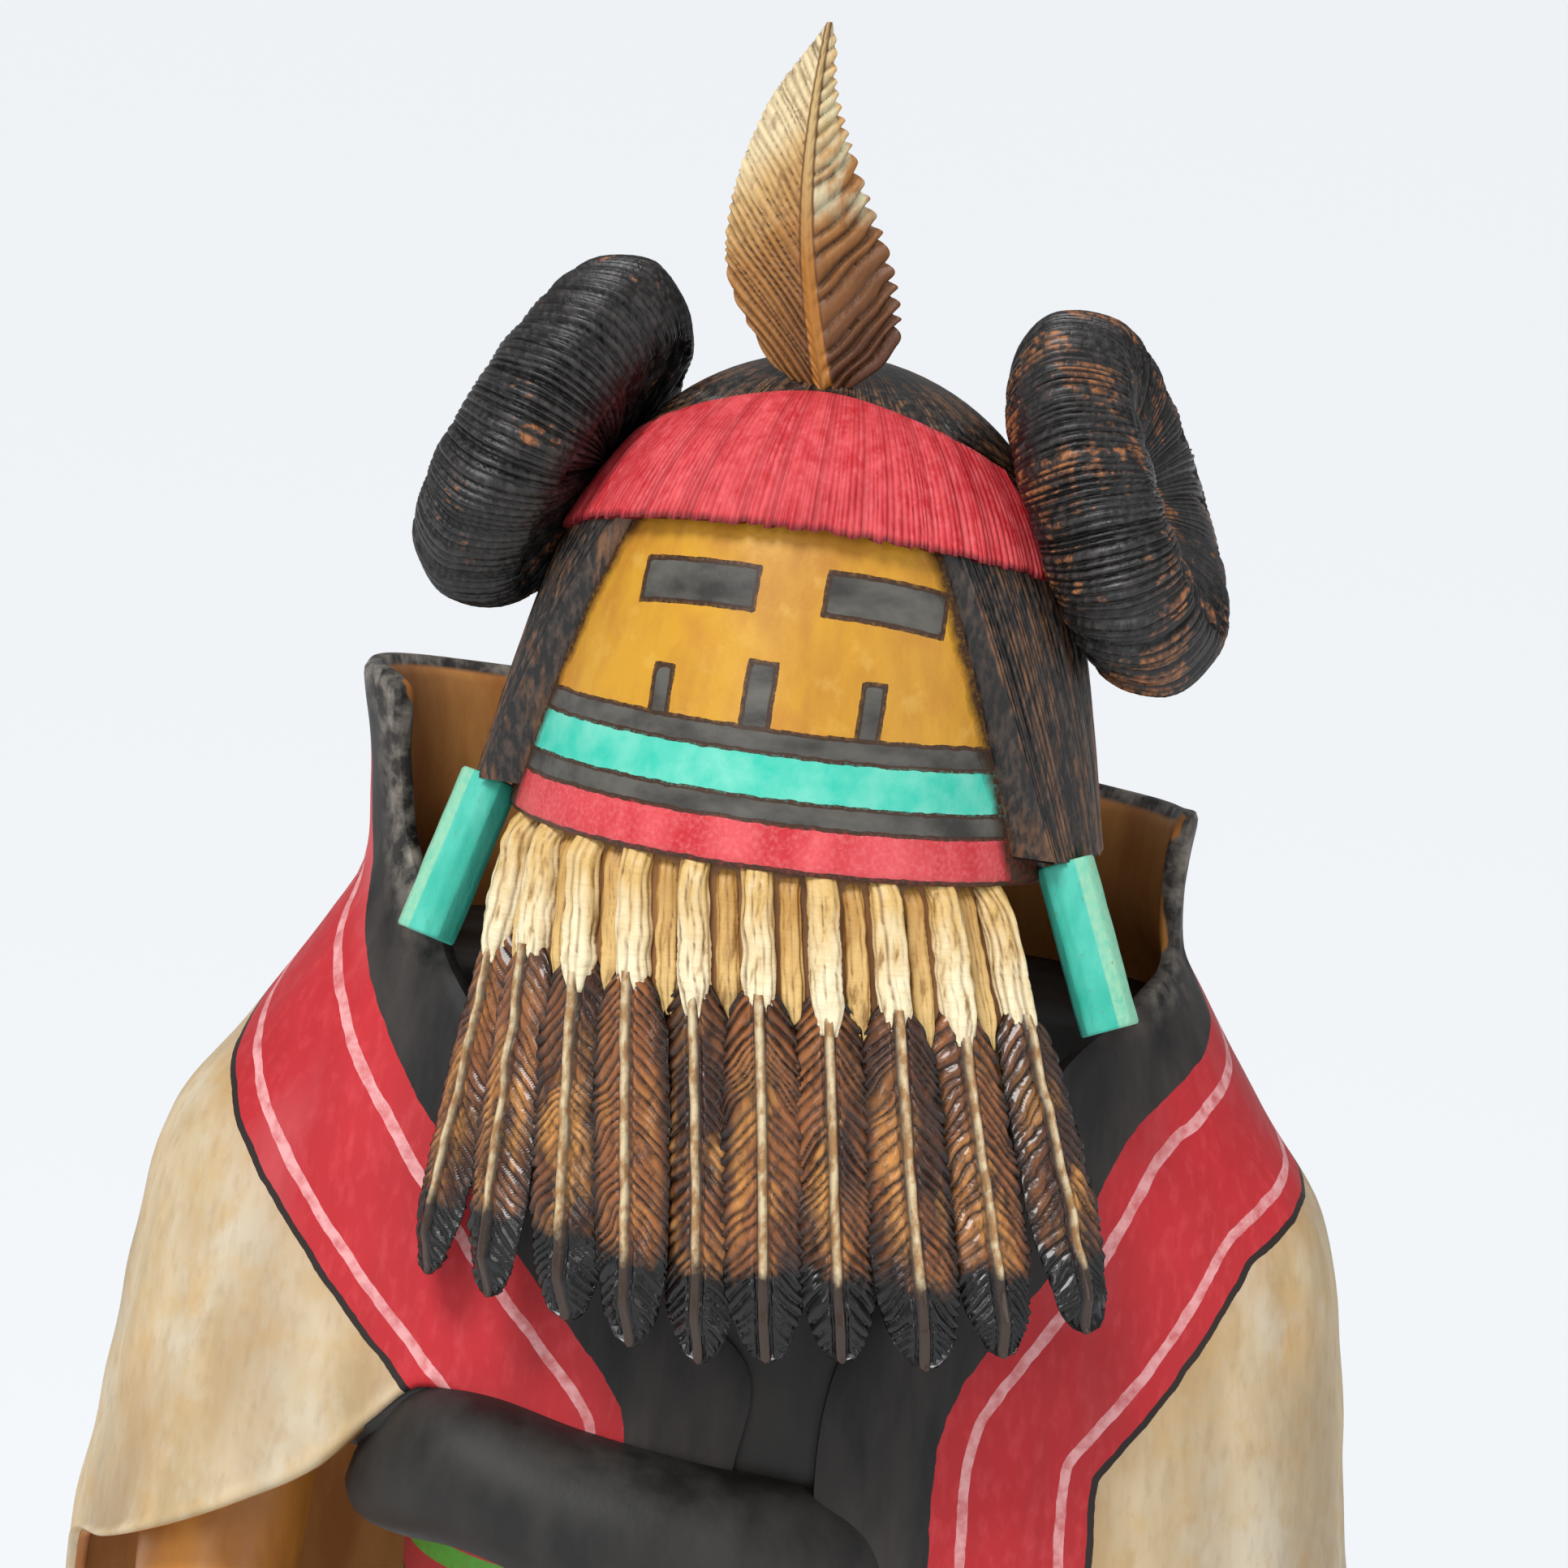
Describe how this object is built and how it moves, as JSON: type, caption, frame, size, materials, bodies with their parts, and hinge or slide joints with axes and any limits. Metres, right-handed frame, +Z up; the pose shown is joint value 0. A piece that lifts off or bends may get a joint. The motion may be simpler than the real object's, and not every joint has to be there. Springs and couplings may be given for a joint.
{
  "type": "kachina doll",
  "caption": "Carved and painted wooden doll of a masked maiden in a bordered shawl, with hair whorls, a crown feather and a feather beard, on a round base.",
  "frame": {"origin": "centre of the base's underside, on the surface that the doll stands on", "axes": "+Z up, -Y to the front of the doll, +X to the doll's left"},
  "size_m": [0.1498, 0.112, 0.3287],
  "materials": {
    "painted_figure": "carved wood, painted and rubbed",
    "painted_hair": "carved wood, black paint worn at the ridges",
    "carved_feather": "carved wood, stained and lacquered",
    "turquoise_paint": "carved wood, matt turquoise paint",
    "base_wood": "turned wood, waxed"
  },
  "bodies": {
    "root": {"figure": "painted_figure", "hair_whorl_right": "painted_hair", "hair_whorl_left": "painted_hair", "crown_feather": "carved_feather", "ear_pendant_right": "turquoise_paint", "ear_pendant_left": "turquoise_paint", "base": "base_wood"}
  },
  "joints": []
}
